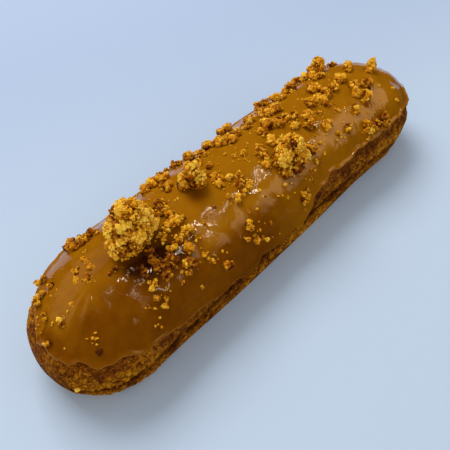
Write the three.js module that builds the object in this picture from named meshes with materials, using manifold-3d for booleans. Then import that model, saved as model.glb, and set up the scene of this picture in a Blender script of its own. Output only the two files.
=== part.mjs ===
// A caramel-glazed eclair with a crumble topping.
//
// Frame: millimetres, +Z up. The eclair lies along X, and its flat foot is on z = 0. The origin is in
// the middle of the foot. The -Y side is the one where the glaze has run furthest down.
//
// Pieces: the choux shell, the sheet of set glaze with the small crumbs stuck in it, and four clumps
// of crumble that are large enough to be pieces of their own.

import * as THREE from 'three';
import { ParametricGeometry } from 'three/addons/geometries/ParametricGeometry.js';
import { SimplexNoise } from 'three/addons/math/SimplexNoise.js';
import { mergeVertices } from 'three/addons/utils/BufferGeometryUtils.js';
import Module from 'manifold-3d';

// ---- Driving dimensions, in millimetres ----

const LENGTH = 150;
const SHELL_WIDTH = 37.8;
const SHELL_HEIGHT = 25.2;
const WAIST_Z = 11;            // height of the widest line of the shell
const DOME_POWER = 1.93;       // roundness of the dome's section, where 2 is an ellipse
const END_STRETCH = 1.17;      // how much longer than a half circle each end is, seen from above
const BOW = 2.98;              // how far the middle lies towards +Y of a line between the ends
const FOOT_SHARE = 0.893;      // width of the flat foot as a share of the whole width
const FOOT_POWER = 2.2;        // how late the side turns in towards the foot
const SWELL_POWER = 3;         // how square the places are where the foot spread in baking
const BLISTER = 0.45;          // height of the bumps on the baked crust
const BLISTER_SPAN = 7;        // distance from bump to bump
const GROOVE = { z: 7.4, spread: 1.7, depth: 0.6 };

const GLAZE = 1.5;             // thickness of the set glaze over the crown
const GLAZE_EDGE = 1.2;        // thickness just above its edge, before it rounds off
const GLAZE_WAVE = 0.18;       // height of the slow waves in its surface
const GAP = 0.40;              // clearance between touching pieces
const LIP_Z = 17.6;            // height of the glaze's edge where nothing has run down

// Where the foot spread in baking, so that the side stands straighter: place round the rim (0 to 1),
// half width there, and how much wider the foot is, as a share of the whole width.
const FOOT_SWELLS = [
  { at: 0.136, half: 0.108, share: 0.107 },
  { at: 0.640, half: 0.110, share: 0.055 },
];

// Where the glaze has run down or stayed high: place round the rim (0 to 1), half width there, and
// how far it drops in millimetres.
const RUNS = [
  { at: 0.106, half: 0.065, drop: 3.4 },
  { at: 0.033, half: 0.029, drop: 3.4 },
  { at: 0.070, half: 0.015, drop: 3.3 },
  { at: 0.097, half: 0.012, drop: 5.9 },
  { at: 0.123, half: 0.012, drop: 3.1 },
  { at: 0.141, half: 0.012, drop: 4.9 },
  { at: 0.164, half: 0.012, drop: 6.2 },
  { at: 0.191, half: 0.012, drop: 1.3 },
  { at: 0.228, half: 0.012, drop: 1.3 },
  { at: 0.267, half: 0.012, drop: 0.9 },
  { at: 0.292, half: 0.012, drop: 0.7 },
  { at: 0.340, half: 0.012, drop: 1.0 },
  { at: 0.380, half: 0.014, drop: 1.8 },
  { at: 0.440, half: 0.014, drop: 1.0 },
  { at: 0.480, half: 0.014, drop: 2.2 },
  { at: 0.540, half: 0.016, drop: 2.6 },
  { at: 0.585, half: 0.012, drop: 1.2 },
  { at: 0.640, half: 0.016, drop: 3.4 },
  { at: 0.700, half: 0.014, drop: 1.4 },
  { at: 0.755, half: 0.016, drop: 2.4 },
  { at: 0.871, half: 0.065, drop: -2.3 },
  { at: 0.906, half: 0.028, drop: 1.2 },
  { at: 0.958, half: 0.012, drop: 0.9 },
  { at: 0.993, half: 0.017, drop: 1.3 },
];

const RUN_POWER = 2.6;         // how square the runs are, where 2 is a bell curve

// Clumps of crumble: place in plan, radius, height above the glaze, the number of lumps in each, how
// much longer each is than wide, and the angle from +X to its long way in radians.
const CLUMPS = [
  {
    name: 'clump_large', x: -40.4, y: 1.8, radius: 7.4, height: 12.6,
    lumps: 14, long: 1.28, turn: 0.77, seed: 11,
  },
  {
    name: 'clump_dark', x: -17.8, y: 4.0, radius: 4.3, height: 8.0,
    lumps: 7, long: 1, turn: 0, seed: 23,
  },
  {
    name: 'clump_middle', x: 9.6, y: -8.0, radius: 6.0, height: 8.6,
    lumps: 9, long: 1, turn: 0, seed: 37,
  },
  {
    name: 'clump_far', x: 51.0, y: 13.3, radius: 3.3, height: 6.3,
    lumps: 4, long: 1, turn: 0, seed: 41,
  },
];
const CLUMP_CLEARANCE = 0.9;   // between a clump and the small crumbs round it
const LUMP_DEPTH = 1.4;        // how deep the lowest lumps start below the glaze, before the cut

// Patches of small crumbs: place in plan and radius.
const PATCHES = [
  { x: -48.5, y: 13.0, radius: 2.8 },
  { x: -54.5, y: 3.0, radius: 2.6 },
  { x: -65.0, y: 5.6, radius: 2.0 },
  { x: -29.4, y: -1.0, radius: 3.6 },
  { x: -33.0, y: -8.6, radius: 2.6 },
  { x: -40.0, y: -9.5, radius: 2.2 },
  { x: -30.0, y: -13.0, radius: 1.8 },
  { x: -26.0, y: -15.8, radius: 1.8 },
  { x: -22.8, y: 9.0, radius: 2.6 },
  { x: -20.5, y: 14.6, radius: 2.6 },
  { x: -5.2, y: 14.0, radius: 2.6 },
  { x: -11.0, y: 0.4, radius: 2.4 },
  { x: -8.2, y: -5.4, radius: 2.5 },
  { x: -13.0, y: -6.4, radius: 1.8 },
  { x: -13.8, y: -14.6, radius: 2.5 },
  { x: 1.5, y: 11.0, radius: 3.4 },
  { x: 7.8, y: 9.0, radius: 2.4 },
  { x: 16.0, y: 11.2, radius: 2.2 },
  { x: 21.5, y: 8.8, radius: 3.4 },
  { x: 15.5, y: 3.8, radius: 3.6 },
  { x: 4.2, y: -2.0, radius: 2.8 },
  { x: 23.6, y: -1.8, radius: 3.4 },
  { x: 34.0, y: 0.6, radius: 3.6 },
  { x: 34.5, y: 12.4, radius: 3.2 },
  { x: 39.6, y: 4.2, radius: 2.8 },
  { x: 46.6, y: 8.0, radius: 2.4 },
  { x: 47.4, y: 0.4, radius: 3.0 },
  { x: 47.6, y: -6.2, radius: 3.4 },
  { x: 47.6, y: -13.6, radius: 2.6 },
  { x: 41.0, y: -12.8, radius: 2.6 },
  { x: 33.7, y: -10.8, radius: 2.0 },
  { x: 60.2, y: -0.9, radius: 1.8 },
  { x: 57.0, y: 5.0, radius: 2.0 },
  { x: 6.0, y: -14.6, radius: 2.0 },
];
const CRUMB_MIN = 0.95;
const CRUMB_MAX = 2.0;
const CRUMB_AREA = 10;         // plan area of a patch for each of its crumbs, in square millimetres
const CRUMB_RISE = 0.35;       // how far its middle is above the glaze, in its own radii
const CRUMB_REACH = 1.2;       // the furthest that its corners stand from its middle, in radii
const CRUMB_TRIES = 6;         // random places tried for each crumb

// ---- Fineness of the faces ----

const SIDE_SHARE = 0.3;        // part of the way round that one long side takes
const ROUND = 110;             // steps round the rim, a whole number of them on each side
const DOME_ROWS = 7;
const SIDE_ROWS = 5;
const FOOT_ROWS = 2;
const OUTER_ROWS = 8;
const INNER_ROWS = 10;
const GRID = 0.001;            // points are put on this grid, so that neighbouring faces meet exactly
const WELD = 0.002;

// ---- Worked-out sizes ----

const HALF = SHELL_WIDTH / 2;
const SPINE = LENGTH / 2 - END_STRETCH * HALF;
const END_SHARE = 0.5 - SIDE_SHARE;
const RIGHT_ANGLE = Math.PI / 2;

function bowAt(x) {
  const along = (2 * x) / LENGTH;
  return BOW * (1 - along * along);
}

// The bow moves the middle by all of BOW and the sides near the tips by little, so this shift puts
// the widest extent evenly about y = 0.
const BOW_SHIFT = 0.749 * BOW;

const wasm = await Module();
wasm.setup();

function seededRandom(seed) {
  let state = seed;
  return function next() {
    state = (state * 1664525 + 1013904223) % 4294967296;
    return state / 4294967296;
  };
}

const crustNoise = new SimplexNoise({ random: seededRandom(5) });
const glazeNoise = new SimplexNoise({ random: seededRandom(9) });

// ---- The form: a domed section swept round a bowed spine ----

// A place round the rim, 0 to 1: the point of the spine it belongs to and the way out from it.
function around(turn) {
  const share = turn % 1;
  if (share < SIDE_SHARE) {
    return { x: -SPINE + (2 * SPINE * share) / SIDE_SHARE, outX: 0, outY: -1 };
  }
  if (share < 0.5) {
    const angle = -RIGHT_ANGLE + (Math.PI * (share - SIDE_SHARE)) / END_SHARE;
    return { x: SPINE, outX: Math.cos(angle), outY: Math.sin(angle) };
  }
  if (share < 0.5 + SIDE_SHARE) {
    return { x: SPINE - (2 * SPINE * (share - 0.5)) / SIDE_SHARE, outX: 0, outY: 1 };
  }
  const angle = RIGHT_ANGLE + (Math.PI * (share - 0.5 - SIDE_SHARE)) / END_SHARE;
  return { x: -SPINE, outX: Math.cos(angle), outY: Math.sin(angle) };
}

// How far a place is from another one round the rim, in half widths.
function apartFrom(turn, at, half) {
  const away = Math.abs((turn % 1) - at);
  return Math.abs(Math.min(away, 1 - away)) / half;
}

function footShare(turn) {
  const swells = FOOT_SWELLS.map(({ at, half, share }) => {
    return share * Math.exp(-Math.pow(apartFrom(turn, at, half), SWELL_POWER));
  });
  return swells.reduce((sum, swell) => sum + swell, FOOT_SHARE);
}

// The section, from 0 at the crown through 1 at the waist to 2 at the foot: distance out and height.
function section(turn, down) {
  if (down <= 1) {
    const angle = down * RIGHT_ANGLE;
    const out = HALF * Math.pow(Math.sin(angle), 2 / DOME_POWER);
    const rise = Math.pow(Math.max(Math.cos(angle), 0), 2 / DOME_POWER);
    return { out, z: WAIST_Z + (SHELL_HEIGHT - WAIST_Z) * rise };
  }
  const below = down - 1;
  const out = HALF * (1 - (1 - footShare(turn)) * Math.pow(below, FOOT_POWER));
  return { out, z: WAIST_Z * (1 - below) };
}

// The place in the section that has a given height.
function downAt(z) {
  if (z < WAIST_Z) {
    return 2 - z / WAIST_Z;
  }
  const rise = (z - WAIST_Z) / (SHELL_HEIGHT - WAIST_Z);
  return Math.acos(Math.pow(rise, DOME_POWER / 2)) / RIGHT_ANGLE;
}

// The way out of the section's curve, from two places close to each other on it.
function sectionNormal(turn, down) {
  if (down === 0) {
    return new THREE.Vector2(0, 1);
  }
  const step = 0.01;
  const above = section(turn, Math.max(down - step, 0));
  const below = section(turn, Math.min(down + step, 2));
  const normal = new THREE.Vector2(above.z - below.z, below.out - above.out);
  return normal.normalize();
}

// A point of the form, moved out from it by an offset.
function formPoint(turn, down, offset, target) {
  const rim = around(turn);
  const cut = section(turn, down);
  const normal = sectionNormal(turn, down);
  const lean = new THREE.Vector2(rim.outX / END_STRETCH, rim.outY).normalize();
  const x = rim.x + rim.outX * END_STRETCH * cut.out;
  const y = rim.outY * cut.out + bowAt(x) - BOW_SHIFT;
  target.set(
    x + lean.x * normal.x * offset,
    y + lean.y * normal.x * offset,
    cut.z + normal.y * offset,
  );
}

// The height of the glaze's edge at a place round the rim.
function lipHeight(turn) {
  let height = LIP_Z;
  for (const run of RUNS) {
    height -= run.drop * Math.exp(-Math.pow(apartFrom(turn, run.at, run.half), RUN_POWER));
  }
  return height;
}

// The form's height under a place in plan.
function formHeight(x, y) {
  const beyond = Math.max(Math.abs(x) - SPINE, 0) / END_STRETCH;
  const aside = y - bowAt(x) + BOW_SHIFT;
  const share = Math.min(Math.hypot(beyond, aside) / HALF, 1);
  return WAIST_Z + (SHELL_HEIGHT - WAIST_Z) * Math.pow(1 - Math.pow(share, DOME_POWER), 1 / DOME_POWER);
}

// The point over a place in plan that lies a given distance outside the form.
function pointOver(x, y, distance) {
  const step = 0.2;
  const slopeX = (formHeight(x + step, y) - formHeight(x - step, y)) / (2 * step);
  const slopeY = (formHeight(x, y + step) - formHeight(x, y - step)) / (2 * step);
  const up = new THREE.Vector3(-slopeX, -slopeY, 1).normalize();
  return up.multiplyScalar(distance).add(new THREE.Vector3(x, y, formHeight(x, y)));
}

// ---- Closed bodies from surfaces ----

// Makes a closed body of a surface that is given by a function of the way round and the row. Its
// seams are welded, and the faces that the welding has shrunk to a line are dropped.
function closedGeometry(pointAt, rows) {
  function gridPoint(turn, share, target) {
    pointAt(turn, Math.round(share * rows), target);
    target.divideScalar(GRID).round().multiplyScalar(GRID);
  }
  const surface = new ParametricGeometry(gridPoint, ROUND, rows);
  surface.deleteAttribute('normal');
  surface.deleteAttribute('uv');
  const welded = mergeVertices(surface, WELD);
  const corners = welded.index.array;
  const kept = [];
  for (let i = 0; i < corners.length; i += 3) {
    const [a, b, c] = corners.slice(i, i + 3);
    if (a !== b && b !== c && c !== a) {
      kept.push(a, c, b);
    }
  }
  welded.setIndex(kept);
  return welded;
}

function toSolid(geometry) {
  const vertProperties = Float32Array.from(geometry.attributes.position.array);
  const triVerts = Uint32Array.from(geometry.index.array);
  return new wasm.Manifold(new wasm.Mesh({ numProp: 3, vertProperties, triVerts }));
}

function toGeometry(solid) {
  const mesh = solid.getMesh();
  const geometry = new THREE.BufferGeometry();
  geometry.setAttribute('position', new THREE.BufferAttribute(mesh.vertProperties, 3));
  geometry.setIndex(new THREE.BufferAttribute(mesh.triVerts, 1));
  return mergeVertices(geometry, WELD);
}

// ---- The choux shell ----

// The crust's blisters, and the groove between its foot and its dome. Both end below the glaze.
function crustRelief(point, turn, z) {
  const lips = [turn - 1 / ROUND, turn, turn + 1 / ROUND].map(lipHeight);
  const below = Math.min(...lips) - z;
  const bare = THREE.MathUtils.smoothstep(below, 1, 3) * THREE.MathUtils.smoothstep(z, 0.2, 2);
  const span = BLISTER_SPAN;
  const bumps = crustNoise.noise3d(point.x / span, point.y / span, (1.4 * z) / span);
  const groove = Math.exp(-Math.pow((z - GROOVE.z) / GROOVE.spread, 2));
  return bare * (BLISTER * bumps - GROOVE.depth * groove);
}

function shellGeometry() {
  const rows = DOME_ROWS + SIDE_ROWS + FOOT_ROWS;
  function shellPoint(turn, row, target) {
    if (row <= DOME_ROWS + SIDE_ROWS) {
      const down = row <= DOME_ROWS ? row / DOME_ROWS : 1 + (row - DOME_ROWS) / SIDE_ROWS;
      formPoint(turn, down, 0, target);
      formPoint(turn, down, crustRelief(target, turn, section(turn, down).z), target);
      target.z = down === 2 ? 0 : target.z;
      return;
    }
    const inward = (rows - row) / FOOT_ROWS;
    const rim = around(turn);
    const out = HALF * footShare(turn) * inward;
    const x = rim.x + rim.outX * END_STRETCH * out;
    target.set(x, rim.outY * out + bowAt(x) - BOW_SHIFT, 0);
  }
  return closedGeometry(shellPoint, rows);
}

// ---- The glaze and the crumbs stuck in it ----

// The glaze's thickness, by the share of the way from the crown to its edge. It is a little thinner
// just above the edge, and it rounds off there.
function glazeThickness(point, share) {
  const waves = GLAZE_WAVE * glazeNoise.noise3d(point.x / 14, point.y / 9, 0);
  const thinner = (GLAZE - GLAZE_EDGE) * THREE.MathUtils.smoothstep(share, 0.5, 0.93);
  const full = GLAZE + waves * (1 - share) - thinner;
  const last = Math.max((share - 0.9) / 0.1, 0);
  return GAP + 0.1 + (full - GAP - 0.1) * Math.sqrt(Math.max(1 - last * last, 0));
}

function glazeGeometry() {
  const rows = OUTER_ROWS + INNER_ROWS;
  function glazePoint(turn, row, target) {
    const lipDown = downAt(lipHeight(turn));
    if (row <= OUTER_ROWS) {
      const outer = 1 - Math.pow(1 - row / OUTER_ROWS, 1.6);
      formPoint(turn, outer * lipDown, 0, target);
      formPoint(turn, outer * lipDown, glazeThickness(target, outer), target);
      return;
    }
    const inner = (rows - row) / INNER_ROWS;
    formPoint(turn, inner * lipDown * 0.992, GAP, target);
  }
  return closedGeometry(glazePoint, rows);
}

// An irregular lump: a low polyhedron with its corners moved in and out.
function lumpSolid(radius, detail, place, random) {
  const lump = new THREE.IcosahedronGeometry(radius, detail);
  lump.deleteAttribute('normal');
  lump.deleteAttribute('uv');
  const welded = mergeVertices(lump, WELD);
  const corners = welded.attributes.position;
  const squeeze = new THREE.Vector3(0.85 + 0.2 * random(), 0.8 + 0.25 * random(), 0.85 + 0.2 * random());
  for (let i = 0; i < corners.count; i += 1) {
    const corner = new THREE.Vector3().fromBufferAttribute(corners, i);
    corner.multiply(squeeze).multiplyScalar(0.9 + 0.24 * random());
    corners.setXYZ(i, corner.x, corner.y, corner.z);
  }
  welded.rotateZ(2 * Math.PI * random());
  welded.translate(place.x, place.y, place.z);
  return toSolid(welded);
}

function clearOfClumps(x, y, radius) {
  return CLUMPS.every((clump) => {
    const away = new THREE.Vector2(x - clump.x, y - clump.y);
    away.rotateAround(new THREE.Vector2(), -clump.turn);
    const apart = Math.hypot(away.x / clump.long, away.y);
    return apart > clump.radius + radius * 1.3 + CLUMP_CLEARANCE;
  });
}

// Crumbs at random places in each patch, the larger ones nearer its middle. Each is partly sunk in
// the glaze, and none of them reaches the shell below.
function addCrumbs(glaze) {
  const random = seededRandom(77);
  const taken = [];
  for (const patch of PATCHES) {
    const wanted = Math.round((Math.PI * patch.radius * patch.radius) / CRUMB_AREA);
    for (let i = 0; i < wanted * CRUMB_TRIES; i += 1) {
      const reach = patch.radius * Math.sqrt(random());
      const angle = 2 * Math.PI * random();
      const radius = CRUMB_MAX - (CRUMB_MAX - CRUMB_MIN) * Math.max(reach / patch.radius, random());
      const x = patch.x + reach * Math.cos(angle);
      const y = patch.y + reach * Math.sin(angle);
      const spread = taken.every((other) => Math.hypot(x - other.x, y - other.y) > radius + other.radius);
      const inPatch = taken.filter((other) => other.patch === patch).length;
      const high = formHeight(x, y) > LIP_Z + radius;
      if (spread && high && inPatch < wanted && clearOfClumps(x, y, radius)) {
        taken.push({ x, y, radius, patch });
      }
    }
  }
  let solid = glaze;
  for (const crumb of taken) {
    const lift = Math.max(GLAZE + CRUMB_RISE * crumb.radius, GAP + CRUMB_REACH * crumb.radius);
    solid = solid.add(lumpSolid(crumb.radius, 0, pointOver(crumb.x, crumb.y, lift), random));
  }
  return solid;
}

// The whole form, grown by an offset, as a tool for cutting.
function formSolid(offset) {
  const rows = DOME_ROWS + SIDE_ROWS + 1;
  function coverPoint(turn, row, target) {
    if (row > DOME_ROWS + SIDE_ROWS) {
      target.set(around(turn).x, bowAt(around(turn).x) - BOW_SHIFT, -offset);
      return;
    }
    const down = row <= DOME_ROWS ? row / DOME_ROWS : 1 + (row - DOME_ROWS) / SIDE_ROWS;
    formPoint(turn, down, offset, target);
  }
  return toSolid(closedGeometry(coverPoint, rows));
}

// ---- The clumps of crumble ----

// A heap of lumps: a ring of them round the bottom, fewer above, and one on top.
function clumpSolid(clump) {
  const random = seededRandom(clump.seed);
  let solid = null;
  for (let i = 0; i < clump.lumps; i += 1) {
    const level = i / (clump.lumps - 1);
    const radius = clump.radius * (0.56 - 0.12 * level);
    const reach = (clump.radius - radius) * (1 - level) * 1.1;
    const angle = i * 2.4 + 0.5 * random();
    const place = new THREE.Vector2(reach * clump.long * Math.cos(angle), reach * Math.sin(angle));
    place.rotateAround(new THREE.Vector2(), clump.turn);
    const x = clump.x + place.x;
    const y = clump.y + place.y;
    const ground = formHeight(x, y) + GLAZE;
    const top = formHeight(clump.x, clump.y) + GLAZE + clump.height - radius;
    const z = THREE.MathUtils.lerp(ground + radius - LUMP_DEPTH, top, level);
    const lump = lumpSolid(radius, 1, new THREE.Vector3(x, y, z), random);
    solid = solid ? solid.add(lump) : lump;
  }
  return solid.subtract(formSolid(GLAZE + GLAZE_WAVE + GAP));
}

// ---- The eclair ----

function addPiece(group, name, geometry, colour, roughness) {
  const material = new THREE.MeshStandardMaterial({ color: colour, roughness, metalness: 0 });
  const piece = new THREE.Mesh(geometry, material);
  piece.name = name;
  group.add(piece);
}

const eclair = new THREE.Group();
addPiece(eclair, 'choux_shell', toGeometry(toSolid(shellGeometry())), 0xa8672a, 0.75);
addPiece(eclair, 'glaze', toGeometry(addCrumbs(toSolid(glazeGeometry()))), 0x86560f, 0.15);
for (const clump of CLUMPS) {
  addPiece(eclair, clump.name, toGeometry(clumpSolid(clump)), 0xc98a34, 0.85);
}

export default eclair;
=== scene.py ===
# %% [markdown]
# # A caramel eclair with crumble
#
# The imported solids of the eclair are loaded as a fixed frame. They have the right size and place, but
# their faces are coarse. This lesson makes the fine surfaces round them: the baked crust, the sheet of
# set caramel, and the crumble as real grains. Everything is in metres, because Blender is.

import math

import bmesh
import bpy
import numpy as np
from mathutils import Matrix, Vector, noise


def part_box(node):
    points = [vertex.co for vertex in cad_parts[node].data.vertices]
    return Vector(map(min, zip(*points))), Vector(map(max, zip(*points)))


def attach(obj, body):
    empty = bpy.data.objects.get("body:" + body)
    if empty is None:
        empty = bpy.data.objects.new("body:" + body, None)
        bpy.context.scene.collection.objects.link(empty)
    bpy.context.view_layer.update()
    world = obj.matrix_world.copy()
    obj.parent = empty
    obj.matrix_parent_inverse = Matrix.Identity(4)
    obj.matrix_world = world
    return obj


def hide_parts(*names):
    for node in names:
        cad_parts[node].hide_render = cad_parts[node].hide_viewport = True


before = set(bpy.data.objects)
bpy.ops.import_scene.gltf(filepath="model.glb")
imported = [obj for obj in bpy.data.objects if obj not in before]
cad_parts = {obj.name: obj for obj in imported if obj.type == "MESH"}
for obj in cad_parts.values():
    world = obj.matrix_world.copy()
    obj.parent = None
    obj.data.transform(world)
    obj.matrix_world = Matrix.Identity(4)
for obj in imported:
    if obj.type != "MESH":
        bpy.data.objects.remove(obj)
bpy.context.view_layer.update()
print("nodes", sorted(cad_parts))

# %% [markdown]
# ## The camera
#
# A picture can be matched only when its camera is known. The place, the direction and the lens below
# put the ends, the foot and the crown of the eclair where a 450 by 450 picture shows them. The lens is
# worked out from the focal length in pixels, as Blender's sensor is 36 mm wide.

# %% Camera
MM = 0.001
PICTURE = 450
FOCAL_PIXELS = 514.8
SENSOR_MM = 36.0
NEAREST_SEEN = 0.005
CAMERA_AT = Vector((-80.9, -65.4, 130.3)) * MM
CAMERA_FORWARD = Vector((0.4532, 0.4090, -0.7921))
CAMERA_DOWN = Vector((-0.5699, -0.5503, -0.6102))


def turn_from_axes(forward, down):
    """The rotation of a camera or a lamp, which looks along its own -Z with its own +Y up."""
    back = -forward.normalized()
    right = (-down).cross(back).normalized()
    up = back.cross(right)
    return Matrix((right, up, back)).transposed()


def ray_through(column, row):
    """The way that the camera looks through a column and a row of the picture."""
    right = CAMERA_FORWARD.cross(-CAMERA_DOWN).normalized()
    aside = (column - PICTURE / 2) / FOCAL_PIXELS
    below = (row - PICTURE / 2) / FOCAL_PIXELS
    return CAMERA_FORWARD.normalized() + right * aside + CAMERA_DOWN.normalized() * below


def added(name, data):
    """A new object of some data, put into the scene."""
    made = bpy.data.objects.new(name, data)
    bpy.context.scene.collection.objects.link(made)
    return made


camera_data = bpy.data.cameras.new("camera")
camera_data.sensor_width = SENSOR_MM
camera_data.lens = FOCAL_PIXELS / PICTURE * SENSOR_MM
camera_data.clip_start = NEAREST_SEEN
camera = added("camera", camera_data)
camera.matrix_world = Matrix.Translation(CAMERA_AT) @ turn_from_axes(CAMERA_FORWARD, CAMERA_DOWN).to_4x4()
bpy.context.scene.camera = camera
print("lens", round(camera_data.lens, 2), "mm")

# %% [markdown]
# ## The form
#
# The whole eclair is one form: a domed section, swept round a spine that bows a little to one side.
# The solids were made by the same rule, so the same few sizes are repeated here. A place on the form
# has two numbers: its turn round the rim, from 0 to 1, and its way down the section, from 0 at the
# crown through 1 at the waist to 2 at the foot.
#
# The functions work on whole arrays of places at once, because the crust alone has nearly 70 000 points.

# %% Sizes of the form, in millimetres
LENGTH = 150.0
SHELL_WIDTH = 37.8
SHELL_HEIGHT = 25.2
WAIST_Z = 11.0
DOME_POWER = 1.93
END_STRETCH = 1.17
BOW = 2.98
BOW_SHIFT = 0.749 * BOW
FOOT_SHARE = 0.893
FOOT_POWER = 2.2
# Where the foot spread in baking: place round the rim, half width there and share of the half width.
FOOT_SWELLS = [(0.136, 0.108, 0.107), (0.640, 0.110, 0.055)]
SWELL_POWER = 3
SIDE_SHARE = 0.3
HALF = SHELL_WIDTH / 2
SPINE = LENGTH / 2 - END_STRETCH * HALF
END_SHARE = 0.5 - SIDE_SHARE
# The dome is upright at its rim, so its height is worked out only up to this share of the half width.
RIM_SHARE = 0.9995


# %% A place on the form
def around(turn):
    """The spine's point at each turn round the rim, and the way out from it."""
    share = np.mod(turn, 1.0)
    near_side = share < SIDE_SHARE
    far_end = (share >= SIDE_SHARE) & (share < 0.5)
    far_side = (share >= 0.5) & (share < 0.5 + SIDE_SHARE)
    along = 2 * SPINE * share / SIDE_SHARE
    back = 2 * SPINE * (share - 0.5) / SIDE_SHARE
    spine_x = np.select([near_side, far_end, far_side], [along - SPINE, SPINE, SPINE - back], -SPINE)
    far_angle = -math.pi / 2 + math.pi * (share - SIDE_SHARE) / END_SHARE
    near_angle = math.pi / 2 + math.pi * (share - 0.5 - SIDE_SHARE) / END_SHARE
    angle = np.select([near_side, far_end, far_side], [-math.pi / 2, far_angle, math.pi / 2], near_angle)
    return spine_x, np.cos(angle), np.sin(angle)


def bow_at(x):
    """How far the bow moves the spine aside at each x."""
    return BOW * (1 - (2 * x / LENGTH) ** 2) - BOW_SHIFT


def foot_share(turn):
    """The foot's half width at each turn, as a share of the waist's."""
    share = FOOT_SHARE + 0 * turn
    for at, half, swell in FOOT_SWELLS:
        share = share + swell * np.exp(-(np.abs(np.mod(turn, 1.0) - at) / half) ** SWELL_POWER)
    return share


def section(turn, down):
    """Distance out and height at each place down the section."""
    angle = np.clip(down, 0, 1) * math.pi / 2
    below = np.clip(down - 1, 0, 1)
    dome_out = HALF * np.sin(angle) ** (2 / DOME_POWER)
    dome_z = WAIST_Z + (SHELL_HEIGHT - WAIST_Z) * np.clip(np.cos(angle), 0, 1) ** (2 / DOME_POWER)
    side_out = HALF * (1 - (1 - foot_share(turn)) * below ** FOOT_POWER)
    return np.where(down <= 1, dome_out, side_out), np.where(down <= 1, dome_z, WAIST_Z * (1 - below))


def section_normal(turn, down):
    """The way out of the section, from two places close to each other."""
    step = 0.01
    out_above, z_above = section(turn, np.maximum(down - step, 0))
    out_below, z_below = section(turn, np.minimum(down + step, 2))
    out = z_above - z_below
    up = np.where(down == 0, 1.0, out_below - out_above)
    out = np.where(down == 0, 0.0, out)
    size = np.hypot(out, up)
    return out / size, up / size


def form_points(turn, down, offset):
    """Points of the form in millimetres, moved out from it by an offset."""
    spine_x, out_x, out_y = around(turn)
    out, z = section(turn, down)
    normal_out, normal_up = section_normal(turn, down)
    lean_x, lean_y = out_x / END_STRETCH, out_y
    lean = np.hypot(lean_x, lean_y)
    x = spine_x + out_x * END_STRETCH * out
    y = out_y * out + bow_at(x)
    return np.stack([
        x + lean_x / lean * normal_out * offset,
        y + lean_y / lean * normal_out * offset,
        z + normal_up * offset,
    ], axis=-1)


def down_at(z):
    """The way down the section that has a given height."""
    rise = np.clip((z - WAIST_Z) / (SHELL_HEIGHT - WAIST_Z), 0, 1)
    dome = np.arccos(rise ** (DOME_POWER / 2)) / (math.pi / 2)
    return np.where(z < WAIST_Z, 2 - z / WAIST_Z, dome)


def form_height(x, y):
    """The form's height over a place in plan."""
    beyond = np.maximum(np.abs(x) - SPINE, 0) / END_STRETCH
    share = np.clip(np.hypot(beyond, y - bow_at(x)) / HALF, 0, RIM_SHARE)
    return WAIST_Z + (SHELL_HEIGHT - WAIST_Z) * (1 - share ** DOME_POWER) ** (1 / DOME_POWER)


print("spine half length", round(SPINE, 2), "mm")

# %% [markdown]
# ## Helpers for meshes
#
# A surface that closes on itself starts as a flat grid. One side of the grid becomes the turn round
# the rim and the other the way down the section, and each corner is then moved to its place. Where
# the grid meets itself, along the seam, the crown and the middle of the foot, the doubled corners are
# merged, so the body is closed.

# %% Grids, noises and finished objects
# Corners closer than this, in millimetres, become one.
MERGE_WITHIN = 0.004
# The way in which a shift moves a noise, so that no two of them look alike.
FIELD_WAY, CELL_WAY = (1.0, 1.7, 0.6), (1.0, 0.4, 1.3)
NOISE_FALLOFF, NOISE_LACUNARITY = 1.0, 2.0


def grid_body(name, columns, rows, place):
    """A closed body of a grid. place takes the turns and the rows, and gives points in millimetres and
    the values of the attributes that the finish reads."""
    bm = bmesh.new()
    bmesh.ops.create_grid(bm, x_segments=columns, y_segments=rows, size=0.5)
    flat = np.array([vertex.co for vertex in bm.verts])
    turn = flat[:, 0] + 0.5
    row = np.rint((flat[:, 1] + 0.5) * rows)
    points, attributes = place(turn, row)
    for vertex, point in zip(bm.verts, points):
        vertex.co = Vector(point) * MM
    for attribute, values in attributes.items():
        kept = bm.verts.layers.float.new(attribute)
        for vertex, value in zip(bm.verts, values):
            vertex[kept] = value
        print(attribute, "from", round(values.min(), 2), "to", round(values.max(), 2))
    bmesh.ops.remove_doubles(bm, verts=bm.verts, dist=MERGE_WITHIN * MM)
    bmesh.ops.recalc_face_normals(bm, faces=bm.faces)
    return finished(name, bm)


def finished(name, bm):
    """Turns a bmesh into an object with smooth faces and says how many triangles it has."""
    mesh = bpy.data.meshes.new(name)
    bm.to_mesh(mesh)
    bm.free()
    mesh.shade_smooth()
    made = added(name, mesh)
    triangles = sum(len(face.vertices) - 2 for face in mesh.polygons)
    print(name, triangles, "triangles")
    return made


def bumps(place, octaves):
    """Smooth noise between about -1 and 1 at one place."""
    return noise.fractal(place, NOISE_FALLOFF, NOISE_LACUNARITY, octaves)


def field(points, span, octaves, shift, rise=1.0, stretch=(1.0, 1.0, 1.0)):
    """Smooth noise at many points, with bumps that are span millimetres apart and about the rise high."""
    offset = Vector(np.array(FIELD_WAY) * shift)
    return rise * np.array([bumps(Vector(point) / span + offset, octaves) for point in points * stretch])


def cells(points, span, shift):
    """The distances to the nearest and the next cell's middle, in cells, at many points."""
    offset = Vector(np.array(CELL_WAY) * shift)
    found = [noise.voronoi(Vector(point) / span + offset)[0][:2] for point in points]
    return np.array(found).T


def smooth_step(value, low, high):
    """A share that rises softly from 0 at the low value to 1 at the high one."""
    share = np.clip((value - low) / (high - low), 0, 1)
    return share * share * (3 - 2 * share)


# %% [markdown]
# ## The glaze's edge
#
# Warm glaze runs down until it sets. Most of its edge stopped at one height, and where more glaze was
# poured, a wide sheet with smaller tongues ran nearly to the foot. The edge is therefore one height
# less a list of runs, each a soft-shouldered bump, and a little wobble.

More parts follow.
